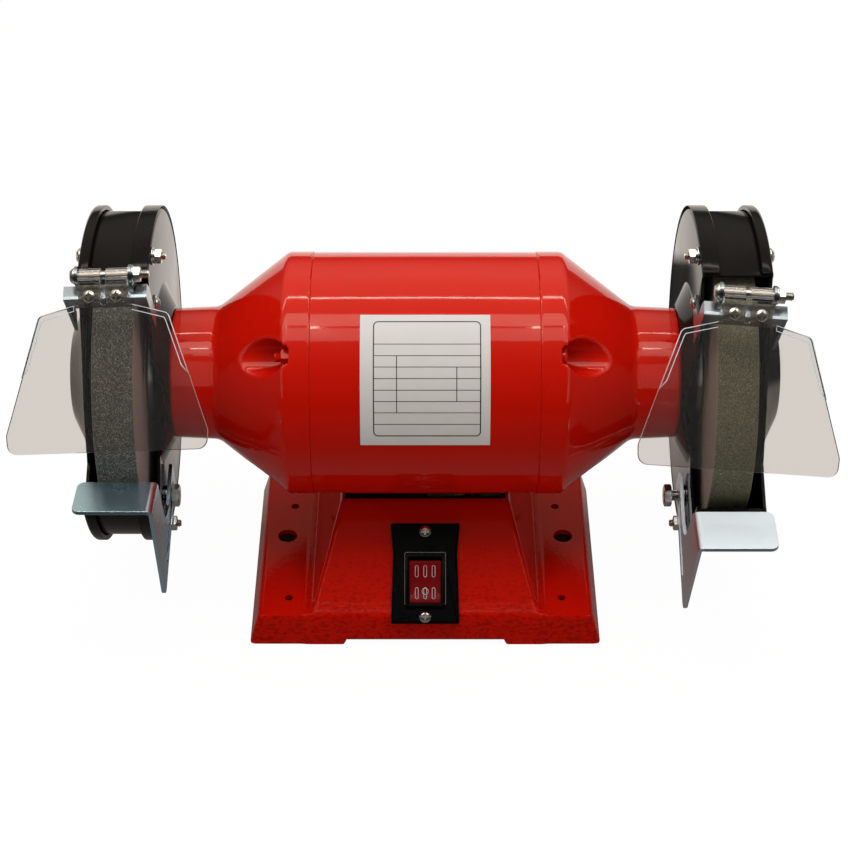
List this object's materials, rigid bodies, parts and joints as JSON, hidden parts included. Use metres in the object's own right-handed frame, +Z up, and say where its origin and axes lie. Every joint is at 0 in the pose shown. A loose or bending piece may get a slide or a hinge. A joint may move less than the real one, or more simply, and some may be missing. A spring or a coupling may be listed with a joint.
{
  "type": "bench grinder",
  "caption": "Bench grinder with a red enclosed motor on a raised base, black wheel guards, clear tilting eye shields, slotted sliding tool rests and a rocker switch.",
  "frame": {"origin": "bench surface under the middle of the base", "axes": "+X along the spindle to the operator's right, -Y towards the operator, +Z up; at rest the spindle is level"},
  "size_m": [0.3858, 0.1989, 0.2129],
  "materials": {
    "red_enamel": "gloss enamel",
    "black_enamel": "satin black enamel",
    "zinc_plate": "bright zinc plating",
    "fastener_steel": "zinc-plated steel",
    "rest_steel": "bright zinc-plated sheet",
    "spindle_steel": "turned steel",
    "bearing_steel": "ground bearing steel",
    "core_steel": "stacked laminations",
    "copper_wire": "enamelled copper wire",
    "foil_plate": "matt silver foil",
    "switch_black": "satin moulding",
    "switch_red": "gloss translucent moulding",
    "cover_sheet": "plain steel sheet",
    "case_can": "drawn can",
    "block_plastic": "moulded block",
    "lead_blue": "insulated wire",
    "lead_red": "insulated wire",
    "gland_black": "moulded gland",
    "clear_shield": "clear polycarbonate",
    "coarse_abrasive": "coarse vitrified grain",
    "fine_abrasive": "fine vitrified grain",
    "blotter_paper": "pressed paper",
    "flange_steel": "blackened steel"
  },
  "bodies": {
    "root": {"base_shell": "red_enamel", "bottom_plate": "cover_sheet", "bottom_plate_screws": "fastener_steel", "saddle_screws": "fastener_steel", "motor_tube": "red_enamel", "left_end_bell": "red_enamel", "right_end_bell": "red_enamel", "tie_bolts": "red_enamel", "tie_nuts": "red_enamel", "stator_core": "core_steel", "stator_windings": "copper_wire", "left_bearing": "bearing_steel", "right_bearing": "bearing_steel", "rating_plate": "foil_plate", "switch_plate": "switch_black", "switch_screws": "fastener_steel", "switch_body": "switch_black", "switch_leads": "lead_blue", "capacitor": "case_can", "capacitor_clip": "zinc_plate", "terminal_block": "block_plastic", "motor_leads": "lead_red", "cable_gland": "gland_black", "left_inner_guard": "black_enamel", "right_inner_guard": "black_enamel", "left_side_cover": "black_enamel", "right_side_cover": "black_enamel", "guard_screws": "fastener_steel", "cover_screws": "fastener_steel", "cover_nuts": "fastener_steel", "left_spark_bracket": "zinc_plate", "right_spark_bracket": "zinc_plate", "spark_bracket_screws": "fastener_steel", "left_shield_rod": "zinc_plate", "right_shield_rod": "zinc_plate"},
    "spindle": {"spindle": "spindle_steel", "rotor_core": "core_steel", "left_wheel": "coarse_abrasive", "right_wheel": "fine_abrasive", "wheel_blotters": "blotter_paper", "inner_flanges": "flange_steel", "outer_flanges": "flange_steel", "left_spindle_nut": "fastener_steel", "right_spindle_nut": "fastener_steel"},
    "left_shield": {"left_shield": "clear_shield", "left_shield_clips": "zinc_plate", "left_clip_screws": "fastener_steel"},
    "right_shield": {"right_shield": "clear_shield", "right_shield_clips": "zinc_plate", "right_clip_screws": "fastener_steel"},
    "left_rest_clamp": {"left_rest_bolt": "fastener_steel"},
    "right_rest_clamp": {"right_rest_bolt": "fastener_steel"},
    "left_rest": {"left_tool_rest": "rest_steel"},
    "right_rest": {"right_tool_rest": "rest_steel"},
    "rocker": {"switch_rocker": "switch_red"}
  },
  "joints": [
    {"name": "spindle_spin", "type": "hinge", "parent": "root", "child": "spindle", "pos_m": [0, 0.016, 0.115], "axis": [1, 0, 0], "continuous": true},
    {"name": "left_shield_tilt", "type": "hinge", "parent": "root", "child": "left_shield", "pos_m": [-0.15, -0.03198, 0.20795], "axis": [-0.9995, -0.0209, -0.0258], "range_deg": [-3, 85]},
    {"name": "right_shield_tilt", "type": "hinge", "parent": "root", "child": "right_shield", "pos_m": [0.15, -0.0402, 0.20322], "axis": [-0.9976, 0.0439, 0.0542], "range_deg": [-3, 85]},
    {"name": "left_rest_pivot", "type": "hinge", "parent": "root", "child": "left_rest_clamp", "pos_m": [-0.1303, -0.018, 0.062], "axis": [1, 0, 0], "range_deg": [-1, 10]},
    {"name": "left_rest_slide", "type": "slide", "parent": "left_rest_clamp", "child": "left_rest", "axis": [0, -0.9563, -0.2924], "range_m": [-0.001, 0.0045]},
    {"name": "right_rest_pivot", "type": "hinge", "parent": "root", "child": "right_rest_clamp", "pos_m": [0.1303, -0.018, 0.062], "axis": [1, 0, 0], "range_deg": [-6, 4]},
    {"name": "right_rest_slide", "type": "slide", "parent": "right_rest_clamp", "child": "right_rest", "axis": [0, -0.8988, -0.4384], "range_m": [-0.005, 0]},
    {"name": "rocker_tilt", "type": "hinge", "parent": "root", "child": "rocker", "pos_m": [0, -0.04442, 0.02578], "axis": [-1, 0, 0], "range_deg": [0, 14]}
  ]
}
